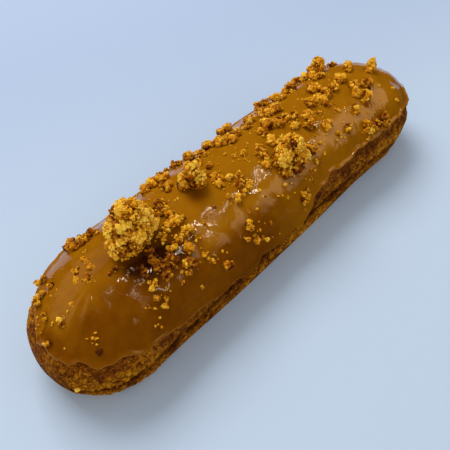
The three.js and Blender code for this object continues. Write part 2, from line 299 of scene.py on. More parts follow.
# %% Edge of the glaze
LIP_Z = 17.6
RUN_POWER = 2.6
# Place round the rim, half width there, and drop in millimetres. One is a rise: there the edge stayed up.
RUNS = [
    (0.106, 0.065, 3.4), (0.033, 0.029, 3.4), (0.070, 0.015, 3.3), (0.097, 0.012, 5.9),
    (0.123, 0.012, 3.1), (0.141, 0.012, 4.9), (0.164, 0.012, 6.2), (0.191, 0.012, 1.3),
    (0.228, 0.012, 1.3), (0.267, 0.012, 0.9), (0.292, 0.012, 0.7), (0.340, 0.012, 1.0),
    (0.380, 0.014, 1.8), (0.440, 0.014, 1.0), (0.480, 0.014, 2.2), (0.540, 0.016, 2.6),
    (0.585, 0.012, 1.2), (0.640, 0.016, 3.4), (0.700, 0.014, 1.4), (0.755, 0.016, 2.4),
    (0.871, 0.065, -2.3), (0.906, 0.028, 1.2), (0.958, 0.012, 0.9), (0.993, 0.017, 1.3),
]
# Waves round the rim, height in millimetres and phase.
LIP_WOBBLE = [(31, 0.22, 0.4), (53, 0.16, 2.1), (87, 0.09, 4.4)]


def lip_height(turn):
    """The height of the glaze's edge at each turn round the rim."""
    height = np.full_like(turn, LIP_Z)
    for at, half, drop in RUNS:
        away = np.abs(np.mod(turn, 1.0) - at)
        apart = np.minimum(away, 1 - away) / half
        height -= drop * np.exp(-apart ** RUN_POWER)
    for waves, size, phase in LIP_WOBBLE:
        height += size * np.sin(2 * math.pi * waves * turn + phase)
    return height


edge_z = lip_height(np.linspace(0, 1, 500))
print("edge between", round(float(edge_z.min()), 1), "and", round(float(edge_z.max()), 1), "mm")

# %% [markdown]
# ## The baked shell
#
# Choux pastry dries to a thin brown crust that blisters, wrinkles and cracks as the steam swells it.
# Those marks are real relief here, so they cast real shadows and show at the outline. Each point also
# keeps how high it stands as an attribute, and the finish is darker in the pits than on the ridges, with
# painted shade in the pits over their real shadows.

# %% Sizes of the shell
SHELL_COLUMNS = 640
SHELL_ROWS = 106
HIDDEN_ROWS = 12
CRUST_ROWS = 78
CROWN_END = 0.45
# How far the marks stand out or go in, in millimetres.
WRINKLE_RISE, CRACK_DEPTH, PIT_DEPTH, DENT_REST = 0.45, 0.42, 0.55, 0.05
GROOVE_Z, GROOVE_SPREAD, GROOVE_DEPTH = 7.4, 1.7, 0.6
# The relief is kept lower where the form comes near the sides of the solids' box.
HIGHEST_RELIEF, END_TRIM, SIDE_TRIM = 0.45, 0.76, 0.22


# %% Shell
def crust_relief(points, turn, z):
    """How far the crust stands out of the form, in millimetres."""
    stretched = points * (1.0, 1.0, 1.25)
    blisters = field(stretched, span=6.5, octaves=2, shift=3.0, rise=0.42)
    wrinkles = 0.5 - np.abs(field(stretched, span=2.6, octaves=3, shift=8.0, stretch=(1.0, 1.0, 0.7)))
    near, following = cells(stretched, span=2.3, shift=5.0)
    cracks = 1 - smooth_step(following - near, low=0.02, high=0.22)
    cracks = -CRACK_DEPTH * cracks * smooth_step(blisters, low=-0.3, high=0.2)
    pits_near, _ = cells(stretched, span=3.1, shift=11.0)
    pits = -PIT_DEPTH * (1 - smooth_step(pits_near, low=0.10, high=0.30))
    grain = field(points, span=0.8, octaves=2, shift=2.0, rise=0.07)
    groove = -GROOVE_DEPTH * np.exp(-((z - GROOVE_Z) / GROOVE_SPREAD) ** 2)
    bare = smooth_step(lip_height(turn) - z, low=-0.5, high=2.0)
    trim = END_TRIM * smooth_step(np.abs(points[:, 0]), low=70.0, high=75.0)
    trim += SIDE_TRIM * smooth_step(np.abs(points[:, 1]), low=18.2, high=19.5)
    relief = blisters + WRINKLE_RISE * wrinkles + cracks + pits + grain + groove
    return np.minimum(bare * relief, HIGHEST_RELIEF - trim)


def shell_points(turn, row):
    """Smooth points on the crown, which the glaze hides, then the crust, and last the flat foot."""
    crust_end = HIDDEN_ROWS + CRUST_ROWS
    down = np.interp(row, [0, HIDDEN_ROWS, crust_end, SHELL_ROWS], [0, CROWN_END, 2, 3])
    points = form_points(turn, np.minimum(down, 2), 0 * turn)
    relief = np.zeros(len(turn))
    crust = (row > HIDDEN_ROWS) & (row <= crust_end)
    relief[crust] = crust_relief(points[crust], turn[crust], points[crust][:, 2])
    relief *= smooth_step(points[:, 2], low=0.0, high=1.6)
    points = form_points(turn, np.minimum(down, 2), relief)
    foot = down > 2
    spine_x, out_x, out_y = around(turn[foot])
    out = HALF * foot_share(turn[foot]) * (3 - down[foot])
    foot_x = spine_x + out_x * END_STRETCH * out
    points[foot] = np.stack([foot_x, out_y * out + bow_at(foot_x), 0 * out], axis=-1)
    dents = field(points[foot], span=5.0, octaves=3, shift=7.0, rise=0.5)
    points[foot, 2] = np.maximum(dents + DENT_REST, 0) * smooth_step(down[foot], low=2.0, high=2.15)
    return points, {"relief": relief, "under_lip": lip_height(turn) - points[:, 2]}


shell = grid_body("baked_shell", SHELL_COLUMNS, SHELL_ROWS, shell_points)

# %% [markdown]
# ## The set caramel
#
# The glaze is a skin about 1.5 mm thick. It is never quite even: it lies in slow waves from the
# spatula, in faint ribs and lines where it ran down, and in a rounded bead above its edge, where it
# gathered before it set. A gloss shows all of that in its reflections, so the waves are made in the
# mesh, livelier on the near side than on the far one.
#
# Three attributes tell the finish how near a place is to the edge, how much painted shade lies there,
# and whether the skin set in tiny dimples.

# %% Sizes of the glaze
GLAZE_COLUMNS = 560
GLAZE_ROWS = 112
GLAZE_OUTER_ROWS = 100
# Thickness on top and near the edge, and where the inner face lies, in millimetres.
GLAZE, GLAZE_EDGE, GLAZE_SUNK = 1.5, 1.2, -0.2
LIP_ROUNDING = 0.055
# From this share of the outer rows on they come closer together, along a quarter of a wave.
CLOSER_FROM, ROW_PACE, CLOSER_AT, LAST_PART, LAST_PACE = 0.8, 1.15, 0.92, 0.08, 2.5
# How lively the waves are at the least, and how much they flatten towards the edge.
CALM, FLATTER = 0.6, 0.5
RIPPLE_RISE, FOLD_DEPTH, FOLD_ROUNDING, FOLD_REST = 0.22, 0.30, 0.002, 0.08
# How closely the fine lines lie round the rim and down the side.
LINES_ROUND, LINES_DOWN = 150, 1.2
# Ridges where caramel ran down: place round the rim, half width there and height in millimetres.
RIDGES = [(0.9345, 0.0055, 0.30), (0.9150, 0.0050, 0.16), (0.9700, 0.0050, 0.16), (0.0020, 0.0035, 0.26)]
WINDING, WINDING_WAVES, WINDING_PHASE = 0.0035, 7.0, 1.0
BEAD_AT, BEAD_HALF, BEAD = 0.945, 0.030, 0.50
# What bulges further aside than this, in millimetres, is pressed in by this share of the excess.
BULGE_LIMIT, BULGE_EASE = 19.3, 0.6

# %% Places on the glaze
# Column and row of the places where the skin set in tiny dimples that glint, and their reach.
DIMPLED_PLACES = [
    (105, 292), (138, 283), (141, 297), (213, 215), (252, 178), (122, 266), (168, 258), (97, 309),
]
DIMPLED_REACH = 1.3
# Painted shadows on the caramel against the clumps: x and y in plan, reach and how much.
PAINTED_CLUMP_SHADOWS = [
    (-46.6, -4.3, 2.4, 1.0), (-40.9, -5.7, 2.6, 0.8), (-43.5, -5.5, 3.4, 1.2), (-38.5, -6.0, 3.4, 1.2),
    (-35.0, -7.5, 2.6, 0.9), (-20.0, 0.2, 2.6, 1.1), (6.0, -10.5, 2.8, 0.9), (-50.0, 2.0, 1.6, 0.4),
    (25.0, -4.8, 1.6, 0.8), (46.0, -4.5, 1.8, 0.7),
]
# Painted shade also darkens the near end, less on its left, and low down on the near side, less towards
# the far end.
LESS_ON_LEFT, LESS_FAR_OFF = 0.75, 0.7
RAY_STEPS = 40


def seen_on_glaze(column, row):
    """The place in plan where a ray from the camera meets the glaze."""
    ray = ray_through(column, row)
    start = CAMERA_AT / MM
    z = SHELL_HEIGHT
    for _ in range(RAY_STEPS):
        point = start + ray * ((z - start.z) / ray.z)
        z = (z + float(form_height(point.x, point.y)) + GLAZE) / 2
    return point.x, point.y


def pooled(points):
    """How much painted shade lies at each place: 0 for none, 1 for much, and more where the clumps'
    painted shadows lie.
    """
    x, y, z = points.T
    near_end = smooth_step(-x, low=24.0, high=34.0)
    near_end *= 1 - LESS_ON_LEFT * smooth_step(y, low=-8.5, high=-0.5)
    low_down = 1 - smooth_step(z, low=20.2, high=23.0)
    low_down *= (1 - LESS_FAR_OFF * smooth_step(x, low=-10.0, high=4.0)) * (y < 0)
    shade_amount = np.maximum(near_end, low_down)
    # Painted shadows of the clumps, darkening the caramel beside them.
    for shadow_x, shadow_y, reach, amount in PAINTED_CLUMP_SHADOWS:
        shade_amount += amount * np.exp(-((x - shadow_x) ** 2 + (y - shadow_y) ** 2) / reach ** 2)
    return shade_amount


def dimpled(points):
    """How dimpled the skin is at each place, from 0 to 1."""
    amount = np.zeros(len(points))
    for column, row in DIMPLED_PLACES:
        x, y = seen_on_glaze(column, row)
        amount += np.exp(-((points[:, 0] - x) ** 2 + (points[:, 1] - y) ** 2) / DIMPLED_REACH ** 2)
    return np.minimum(amount, 1)


# %% Glaze
def glaze_thickness(points, turn, share):
    """The thickness of the skin, where share is the way from the crown to the edge."""
    x, y, _ = points.T
    lively = CALM + smooth_step(-y, low=0.0, high=7.0) * smooth_step(x, low=-42.0, high=-28.0)
    waves = field(points, span=15.0, octaves=1, shift=4.0, rise=0.22, stretch=(1.0, 1.3, 1.0))
    ripples = RIPPLE_RISE * lively * field(points, span=6.0, octaves=2, shift=9.0)
    folds = field(points, span=11.0, octaves=1, shift=12.0, stretch=(0.8, 1.2, 1.0))
    folds = -FOLD_DEPTH * lively * np.sqrt(folds ** 2 + FOLD_ROUNDING)
    ribs = field(points, span=5.0, octaves=1, shift=6.0, rise=0.10, stretch=(1.0, 1.0, 0.35))
    ribs *= smooth_step(share, low=0.35, high=0.8)
    lines = np.stack([LINES_ROUND * turn, LINES_DOWN * share, 0 * share], axis=-1)
    lines = field(lines, span=1.6, octaves=1, shift=3.0, rise=0.05)
    ribs += lines * smooth_step(share, low=0.25, high=0.6)
    winding = turn + WINDING * np.sin(WINDING_WAVES * share + WINDING_PHASE)
    for at, half, height in RIDGES:
        away = np.abs(np.mod(winding, 1.0) - at)
        apart = np.minimum(away, 1 - away) / half
        ribs += height * np.exp(-apart ** 2) * smooth_step(share, low=0.15, high=0.45)
    ribs += BEAD * np.exp(-((share - BEAD_AT) / BEAD_HALF) ** 2)
    thinner = (GLAZE - GLAZE_EDGE) * smooth_step(share, low=0.5, high=0.93)
    full = GLAZE + (waves + ripples + folds + FOLD_REST) * (1 - FLATTER * share) + ribs - thinner
    last = np.clip((share - 1 + LIP_ROUNDING) / LIP_ROUNDING, 0, 1)
    return (full - GLAZE_SUNK) * np.sqrt(1 - last ** 2) + GLAZE_SUNK


def eased(points):
    """Presses what bulges furthest to the sides in a little, to stay inside the box of the solids."""
    beyond = np.maximum(np.abs(points[:, 1]) - BULGE_LIMIT, 0)
    points[:, 1] -= np.sign(points[:, 1]) * beyond * BULGE_EASE
    return points


def glaze_points(turn, row):
    """The outer face from the crown to the edge, and the inner face back up to the crown."""
    lip_down = down_at(lip_height(turn))
    outer_row = np.minimum(row, GLAZE_OUTER_ROWS) / GLAZE_OUTER_ROWS
    last_rows = CLOSER_AT + LAST_PART * np.sin((outer_row - CLOSER_FROM) * LAST_PACE * math.pi)
    share = np.where(outer_row < CLOSER_FROM, outer_row * ROW_PACE, last_rows)
    inner_share = (GLAZE_ROWS - row) / (GLAZE_ROWS - GLAZE_OUTER_ROWS)
    outer = row <= GLAZE_OUTER_ROWS
    base = form_points(turn, share * lip_down, 0 * turn)
    thickness = np.where(outer, glaze_thickness(base, turn, share), GLAZE_SUNK)
    points = form_points(turn, np.where(outer, share, inner_share) * lip_down, thickness)
    return eased(points), {"edge": share, "pooled": pooled(base), "dimpled": dimpled(base)}


glaze = grid_body("set_glaze", GLAZE_COLUMNS, GLAZE_ROWS, glaze_points)

# %% [markdown]
# ## Crumble, grain by grain
#
# Crumble is butter, sugar and flour that baked into knobbly nuggets. A nugget is a few rounded grains
# stuck together. Two sets of forms are made once: small spheres, some of twenty faces and some of
# eighty, with their corners pushed about. Turned and stretched, they make thousands of grains, joined
# into one mesh for each piece. Each corner has a tone with painted light and shade in it: paler on top
# and on jutting corners, darker underneath, towards the caramel that the grain lies on.

# %% Forms of the grains
# How fast the pushes change over a form, their octaves, and the next form's place in the noise.
PUSH_PACE, PUSH_OCTAVES = 1.15, 3
NEXT_FORM_Y, NEXT_FORM_Z = 3.1, 1.7


def arrays(bm):
    """The corners of a bmesh of triangles, and the numbers of the corners of each face."""
    faces = [[vertex.index for vertex in face.verts] for face in bm.faces]
    return np.array([vertex.co for vertex in bm.verts]), np.array(faces)


def grain_forms(divisions, count, depth, seed):
    """Several small spheres with their corners pushed in and out, and how far each was pushed."""
    forms = []
    for i in range(count):
        bm = bmesh.new()
        bmesh.ops.create_icosphere(bm, subdivisions=divisions, radius=1.0)
        offset = Vector((seed, NEXT_FORM_Y * i, NEXT_FORM_Z * i))
        pushed = np.array([bumps(vertex.co * PUSH_PACE + offset, PUSH_OCTAVES) for vertex in bm.verts])
        corners, faces = arrays(bm)
        bm.free()
        forms.append((corners * (1 + depth * pushed[:, None]), faces, pushed))
    print(count, "forms of", len(faces), "faces")
    return forms


FINE_GRAINS = grain_forms(divisions=1, count=24, depth=0.60, seed=2.0)
KNOBS = grain_forms(divisions=2, count=16, depth=0.70, seed=5.0)

# %% Grains
# How the tone follows the pushes and the height in a grain, and the grain's place on a nugget: painted
# light on jutting and high parts, painted shade on low ones.
PAINTED_CORNER_LIGHT, PAINTED_GRAIN_TOP_LIGHT, PAINTED_NUGGET_TOP_LIGHT, TONE_SPREAD = 0.38, 0.10, 0.32, 0.13
# The core of a nugget: its share of the nugget's size, and how much darker it is, a painted shade between
# the grains.
CORE_SIZE, PAINTED_CORE_SHADE = 0.82, -0.1


class Grains:
    """Collects grains in millimetres and joins them into one piece."""

    def __init__(self, name, seed, top=math.inf):
        self.name = name
        self.top = top
        self.random = np.random.default_rng(seed)
        self.corners = []
        self.faces = []
        self.tones = []
        self.count = 0

    def add(self, centre, radius, tone, forms=FINE_GRAINS):
        """One grain, turned and stretched at random, and lowered if it would pass the top."""
        corners, faces, pushed = forms[self.random.integers(len(forms))]
        stretch = self.random.uniform(low=0.72, high=1.25, size=3)
        axes, _ = np.linalg.qr(self.random.normal(size=(3, 3)))
        axes[:, 0] *= np.sign(np.linalg.det(axes))
        placed = (corners * stretch * radius) @ axes
        too_high = max(centre[2] + placed[:, 2].max() - self.top, 0)
        self.corners.append(placed + centre - np.array([0, 0, too_high]))
        self.faces.append(faces + self.count)
        # Painted light and shade: jutting corners and the upper part of a grain are paler.
        self.tones.append(tone + PAINTED_CORNER_LIGHT * pushed + PAINTED_GRAIN_TOP_LIGHT * placed[:, 2] / radius)
        self.count += len(corners)

    def nugget(self, centre, normal, size, tone, grains):
        """A lump with smaller grains stuck to it, with painted shade towards what it lies on and painted
        light on top.
        """
        self.add(centre, CORE_SIZE * size, tone + PAINTED_CORE_SHADE, KNOBS)
        for _ in range(grains):
            away = self.random.normal(size=3)
            away *= self.random.uniform(low=0.45, high=0.95) * size / np.linalg.norm(away)
            height = float(away @ normal) / size
            radius = size * self.random.uniform(low=0.22, high=0.48)
            self.add(centre + away, radius, tone + PAINTED_NUGGET_TOP_LIGHT * height + self.random.normal(0, TONE_SPREAD))

    def join(self):
        mesh = bpy.data.meshes.new(self.name)
        corners = np.concatenate(self.corners) * MM
        faces = np.concatenate(self.faces)
        mesh.from_pydata(corners.tolist(), [], faces.tolist())
        tone = mesh.attributes.new("tone", "FLOAT", "POINT")
        tone.data.foreach_set("value", np.concatenate(self.tones).astype(np.float32))
        print(self.name, len(faces), "triangles")
        return added(self.name, mesh)


# %% [markdown]
# ## The four clumps
#
# The largest nuggets have solids of their own, and their grains follow those. A slightly shrunken copy
# of each solid is the inside of the clump, darkened by painted shade. Knobs and fine grains are then
# scattered over its surface, with a fixed seed, in the number that its area needs, paler with painted
# light where they stand high or face up, darker with painted shade where they lie deep. A slow noise
# makes hollows where the crumbs didn't quite meet: there the grains lie deeper and are painted darker,
# a painted shade.

# %% Clumps
# Tone, share of the hollows' depth, and how far the core is shrunk in millimetres.
CLUMPS = {
    "clump_dark": (0.52, 1.0, 0.70),
    "clump_far": (0.46, 0.4, 0.20),
    "clump_large": (0.43, 1.0, 0.60),
    "clump_middle": (0.46, 1.0, 0.70),
}
FIRST_CLUMP_SEED = 100
CLUMP_MERGE_WITHIN = 0.01
# Area for each knob or grain in square millimetres, its radius, its forms and its height over the core.
CLUMP_LAYERS = [
    (2.60, (0.80, 1.30), KNOBS, (-0.60, 0.00)),
    (1.00, (0.40, 0.80), KNOBS, (-0.20, 0.60)),
    (0.20, (0.18, 0.46), FINE_GRAINS, (-0.10, 1.05)),
]
# The hollows: their span, octaves, limit and depth, and the painted shade that darkens them and lightens
# the bumps.
HOLLOW_SPAN, HOLLOW_OCTAVES, HOLLOW_LIMIT, HOLLOW_DEPTH, PAINTED_HOLLOW_SHADE = 2.2, 2, 0.5, 1.1, 0.85
# How the tone follows the height over the core, counted from a middle one, and the way a face looks:
# painted light on high and upward-facing grains, painted shade on low ones.
PAINTED_LAYER_SHADE, LAYER_MIDDLE, PAINTED_UPWARD_LIGHT = 0.3, 0.3, 0.2


def clump_core(node, shrink):
    """A merged copy of a clump's solid, in millimetres, shrunk inwards."""
    bm = bmesh.new()
    bm.from_mesh(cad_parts[node].data)
    bmesh.ops.remove_doubles(bm, verts=bm.verts, dist=CLUMP_MERGE_WITHIN * MM)
    bm.normal_update()
    for vertex, normal in [(vertex, vertex.normal.copy()) for vertex in bm.verts]:
        vertex.co = vertex.co / MM - normal * shrink
    bm.normal_update()
    return bm


def clump_piece(node, seed):
    """The core of one clump under its layers of knobs and grains."""
    clump_tone, hollows, shrink = CLUMPS[node]
    bm = clump_core(node, shrink)
    grains = Grains("crumble_" + node, seed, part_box(node)[1][2] / MM)
    corners, faces = arrays(bm)
    normals = np.array([face.normal for face in bm.faces])
    areas = np.array([face.calc_area() for face in bm.faces])
    bm.free()
    grains.corners.append(corners)
    grains.faces.append(faces)
    grains.tones.append(np.full(len(corners), PAINTED_CORE_SHADE))
    grains.count = len(corners)
    for area, radii, forms, heights in CLUMP_LAYERS:
        wanted = int(areas.sum() / area)
        for face in grains.random.choice(len(faces), wanted, p=areas / areas.sum()):
            weights = grains.random.dirichlet((1, 1, 1))
            height = grains.random.uniform(*heights)
            centre = weights @ corners[faces[face]]
            bulge = bumps(Vector(centre) / HOLLOW_SPAN, HOLLOW_OCTAVES)
            bulge = float(np.clip(bulge, -HOLLOW_LIMIT, HOLLOW_LIMIT)) * hollows
            centre = centre + normals[face] * (height + HOLLOW_DEPTH * bulge)
            # Painted light and shade: grains high over the core, facing up or on bumps are paler, those in
            # hollows darker.
            tone = clump_tone + PAINTED_LAYER_SHADE * (height - LAYER_MIDDLE) + PAINTED_UPWARD_LIGHT * normals[face][2]
            tone += PAINTED_HOLLOW_SHADE * bulge
            tone += grains.random.normal(0, TONE_SPREAD)
            grains.add(centre, grains.random.uniform(*radii), tone, forms)
    return grains.join()


clumps = {node: clump_piece(node, FIRST_CLUMP_SEED + i) for i, node in enumerate(sorted(CLUMPS))}

# %% [markdown]
# ## Crumbs on the glaze
#
# The smaller crumbs fell where the hand let them go: thick along the crown, thin towards the near end.
# A patch of them is a place, how far it spreads, how many nuggets it has and how large they are. The
# places that the picture shows are given as a column and a row of it, and a ray from the camera finds
# them on the glaze. Those behind the crown are given in plan. Inside a patch the nuggets are thrown at
# random, denser in its middle, and each is set on the glaze and sunk into it a little. Most of them are
# dry, a few were glazed over, some lie wet in the caramel beside the largest clump, and some are burnt.

# %% Patches of crumbs
# Column, row, reach, nuggets before crowding, and radius; the reach and the radius in millimetres.
DRY_PATCHES = [
    (75, 250, 1.4, 5, 0.9), (86, 243, 1.3, 5, 0.9), (94, 236, 1.2, 5, 0.8), (54, 286, 0.5, 2, 0.55),
    (46, 293, 0.4, 2, 0.55), (42, 301, 1.3, 7, 0.75), (47, 312, 0.3, 1, 0.45), (49, 317, 0.7, 3, 0.5),
    (64, 321, 0.9, 4, 0.5), (50, 340, 0.8, 3, 0.45), (96, 335, 0.1, 1, 0.35), (147, 305, 0.3, 1, 0.45),
    (161, 302, 0.8, 3, 0.45), (163, 297, 0.7, 3, 0.4), (153, 296, 0.6, 3, 0.5), (151, 283, 1.0, 4, 0.65),
    (158, 323, 0.1, 1, 0.3), (156, 186, 1.7, 9, 0.9), (165, 180, 1.5, 8, 0.95), (168, 190, 1.6, 9, 0.8),
    (148, 191, 1.7, 6, 0.75), (193, 160, 1.5, 8, 0.95), (204, 155, 1.8, 7, 0.65), (211, 167, 1.1, 4, 0.7),
    (198, 165, 1.2, 5, 0.75), (213, 177, 1.1, 4, 0.6), (221, 178, 1.1, 4, 0.6), (229, 177, 1.1, 4, 0.55),
    (220, 185, 0.7, 2, 0.85), (239, 176, 0.8, 4, 0.65), (240, 184, 1.2, 6, 0.65), (248, 186, 1.2, 6, 0.65),
    (243, 191, 1.1, 5, 0.55), (227, 197, 0.6, 3, 0.6), (236, 198, 1.0, 6, 0.75), (204, 223, 0.1, 1, 0.35),
    (195, 236, 0.6, 3, 0.35), (166, 213, 1.5, 8, 0.75), (160, 205, 1.6, 8, 0.7), (175, 222, 1.5, 9, 0.85),
    (185, 230, 1.2, 7, 0.85), (168, 227, 1.2, 7, 0.8), (178, 240, 1.2, 6, 0.75), (186, 247, 0.6, 3, 1.0),
    (185, 262, 0.8, 4, 1.0), (186, 271, 0.6, 3, 0.65), (184, 279, 0.1, 1, 0.35), (204, 255, 0.8, 3, 0.6),
    (211, 258, 0.5, 2, 0.55), (225, 262, 0.9, 4, 1.0), (248, 224, 1.1, 5, 0.75), (244, 236, 0.3, 1, 0.5),
    (253, 235, 0.8, 3, 0.7), (261, 234, 0.8, 4, 0.9), (267, 232, 0.3, 1, 0.6), (267, 221, 0.5, 2, 0.5),
    (276, 228, 0.1, 1, 0.4), (198, 283, 0.1, 1, 0.45), (210, 148, 1.5, 8, 0.85), (222, 144, 1.8, 12, 0.95),
    (231, 141, 1.5, 9, 0.9), (240, 135, 1.5, 8, 0.85), (253, 122, 1.6, 9, 0.85), (248, 129, 1.3, 6, 0.7),
    (267, 115, 1.9, 13, 0.95), (277, 111, 1.7, 10, 0.95), (268, 126, 1.9, 11, 0.9),
    (279, 124, 1.8, 10, 0.85), (262, 134, 1.3, 7, 0.75), (281, 100, 1.4, 7, 1.05), (292, 92, 1.7, 10, 1.0),
    (244, 154, 1.1, 4, 0.55), (235, 157, 0.5, 2, 0.5), (245, 160, 0.1, 1, 0.5), (258, 147, 0.8, 4, 0.6),
    (260, 154, 1.7, 9, 0.8), (265, 164, 1.2, 6, 0.8), (272, 142, 1.2, 6, 0.85), (274, 164, 0.4, 2, 0.7),
    (283, 170, 1.4, 7, 0.7), (294, 164, 1.1, 6, 0.8), (310, 149, 1.2, 7, 0.85), (314, 158, 0.8, 4, 0.55),
    (294, 116, 1.0, 4, 0.8), (286, 119, 1.2, 5, 0.75), (294, 125, 0.7, 3, 0.9), (307, 116, 1.1, 5, 0.85),
    (309, 125, 1.4, 7, 0.9), (325, 125, 1.1, 5, 0.9), (310, 104, 1.4, 8, 0.95), (322, 101, 1.6, 9, 0.95),
    (318, 112, 0.5, 2, 0.55), (318, 142, 0.3, 1, 0.6), (283, 183, 0.6, 2, 0.6), (305, 186, 0.5, 2, 0.45),
    (285, 195, 0.1, 1, 0.35), (302, 197, 1.5, 9, 0.75), (312, 178, 0.1, 1, 0.4), (311, 170, 0.1, 1, 0.45),
    (311, 72, 1.2, 6, 1.2), (310, 79, 2.0, 9, 0.95), (320, 79, 1.7, 7, 0.85), (342, 81, 1.6, 8, 1.1),
    (333, 89, 1.3, 7, 1.0), (326, 95, 1.3, 7, 0.9), (315, 91, 1.6, 9, 1.0), (353, 86, 1.0, 4, 0.95),
    (364, 84, 1.3, 6, 1.05), (355, 92, 1.3, 6, 0.8), (362, 97, 1.9, 11, 1.0), (353, 109, 1.3, 6, 0.65),
    (337, 110, 0.3, 1, 0.55), (378, 86, 0.4, 1, 0.6), (381, 116, 1.3, 8, 0.9), (374, 122, 1.1, 6, 0.85),
    (385, 122, 1.0, 4, 0.8), (365, 124, 1.3, 8, 0.95), (346, 127, 0.9, 5, 0.9), (337, 133, 0.6, 3, 0.5),
    (364, 136, 0.3, 1, 0.6), (368, 71, 1.1, 5, 0.75),
]
GLAZED_OVER_PATCHES = [
    (84, 260, 1.4, 6, 0.65), (93, 267, 0.6, 2, 0.8), (78, 271, 1.2, 6, 0.6), (88, 277, 1.7, 8, 0.6),
    (76, 281, 1.2, 5, 0.55), (73, 304, 0.5, 2, 0.65), (124, 313, 0.4, 1, 0.45), (246, 209, 0.8, 4, 0.5),
    (391, 87, 0.6, 2, 0.75), (394, 98, 0.5, 1, 0.6), (379, 107, 0.5, 2, 0.6),
]
WET_PATCHES = [
    (155, 264, 1.1, 4, 0.95), (163, 262, 0.8, 4, 0.6), (171, 255, 1.7, 9, 0.6), (166, 272, 1.8, 9, 0.5),
    (143, 270, 1.8, 8, 0.45), (115, 270, 1.7, 6, 0.35), (150, 252, 1.6, 6, 0.7), (160, 266, 2.0, 12, 0.5),
    (168, 262, 1.6, 9, 0.5),
]
BURNT_PATCHES = [
    (99, 348, 0.3, 2, 0.75), (213, 206, 0.4, 2, 0.6), (262, 195, 0.4, 2, 0.6), (109, 309, 0.2, 1, 0.6),
    (299, 211, 0.2, 1, 0.5),
]
# Beside the largest clump the dry crumbs lie thickest.
THICK_PATCHES = [
    (158, 213, 1.1, 5, 0.7), (181, 217, 1.0, 4, 0.7), (163, 236, 1.0, 4, 0.65), (171, 246, 1.1, 5, 0.65),
]
# x and y in plan instead of the column and the row.
BEHIND_PATCHES = [
    (-49.0, 15.0, 2.0, 7, 0.85), (-31.0, 15.5, 2.4, 8, 0.8), (-13.0, 16.0, 2.4, 8, 0.85),
    (9.0, 15.5, 2.6, 9, 0.85), (26.0, 15.0, 2.4, 8, 0.9), (43.5, 15.0, 2.4, 8, 0.9),
    (57.0, 11.0, 1.8, 5, 0.7), (-62.0, 10.5, 1.4, 4, 0.6), (48.8, 12.4, 0.9, 5, 1.0),
]
# How deep the nuggets of each kind are sunk in millimetres, and their tone.
DRY, GLAZED_OVER, WET, BURNT = (0.20, 0.46), (0.95, 0.40), (0.40, 0.20), (0.90, -0.10)

# %% Throwing the crumbs of a patch
# Every patch gets this many times its nuggets. The higher the power, the closer they land to its middle.
CROWDING, LANDING_POWER = 1.5, 0.7
# How high the middle of a full patch piles up in millimetres, and the nuggets that make it full.
PILE, FULL_PATCH = 0.9, 8
# How high a nugget's middle lies over the glaze and how far it reaches aside, in radii.
NUGGET_RISE, NUGGET_REACH = 0.55, 1.3
FEWEST_GRAINS, GRAINS_PER_MM = 3, 4
SIDE_LIMIT = 19.6
SLOPE_STEP = 0.2


def over_form(x, y, distance):
    """The point over a place in plan that lies a distance outside the form, and the way up there."""
    along = form_height(x + SLOPE_STEP, y) - form_height(x - SLOPE_STEP, y)
    across = form_height(x, y + SLOPE_STEP) - form_height(x, y - SLOPE_STEP)
    up = np.array([-float(along) / (2 * SLOPE_STEP), -float(across) / (2 * SLOPE_STEP), 1.0])
    up /= np.linalg.norm(up)
    return np.array([x, y, float(form_height(x, y))]) + up * distance, up


def throw_patch(grains, x, y, patch, kind):
    """Throws the nuggets of one patch, and leaves out those that would pass the side limit."""
    reach, nuggets, size = patch
    sunk, tone = kind
    for _ in range(math.ceil(CROWDING * nuggets)):
        away = reach * grains.random.uniform(0, 1) ** LANDING_POWER
        angle = grains.random.uniform(0, 2 * math.pi)
        radius = size * grains.random.uniform(low=0.7, high=1.5)
        pile = (1 - away / reach) * min(nuggets / FULL_PATCH, 1) * PILE
        lift = GLAZE - sunk + radius * NUGGET_RISE + pile
        centre, up = over_form(x + away * math.cos(angle), y + away * math.sin(angle), lift)
        tone_here = grains.random.normal(tone, scale=0.18)
        if abs(centre[1]) + NUGGET_REACH * radius < SIDE_LIMIT:
            grains.nugget(centre, up, radius, tone_here, FEWEST_GRAINS + int(GRAINS_PER_MM * radius))


dry_crumbs = Grains("crumble_crumbs", seed=7)
for column, row, *patch in DRY_PATCHES:
    throw_patch(dry_crumbs, *seen_on_glaze(column, row), patch, DRY)

other_crumbs = Grains("crumble_stuck_crumbs", seed=8)
wet_crumbs = Grains("crumble_wet_crumbs", seed=9)
for grains, rows, kind in [
    (other_crumbs, GLAZED_OVER_PATCHES, GLAZED_OVER),
    (wet_crumbs, WET_PATCHES, WET),
    (wet_crumbs, BURNT_PATCHES, BURNT),
    (other_crumbs, THICK_PATCHES, DRY),
]:
    for column, row, *patch in rows:
        throw_patch(grains, *seen_on_glaze(column, row), patch, kind)
for x, y, *patch in BEHIND_PATCHES:
    throw_patch(other_crumbs, x, y, patch, DRY)

# %% Tall and loose crumbs
# A tall crumb is a few nuggets in a row: column, row, the way from foot to tip, and radius.
TALL_CRUMBS = [(368, 71, (1.6, 0.3, 2.2), 1.8), (348, 70, (0.9, 0.5, 0.6), 1.8)]
TALL_RISE, TALL_NUGGETS, TALL_TAPER = 0.5, 5, 0.35
# One crumb sticks to the crust of the near end.
CRUST_CRUMB_AT = np.array([-71.75, -11.95, 10.7])
# Loose single grains lie about the dry patches, well above the glaze's edge.
LOOSE_CRUMBS, LOOSE_RISE, LOOSE_SPREAD, LOOSE_SPREAD_MORE, LOOSE_ABOVE_LIP = 420, 0.4, 1.3, 0.8, 2

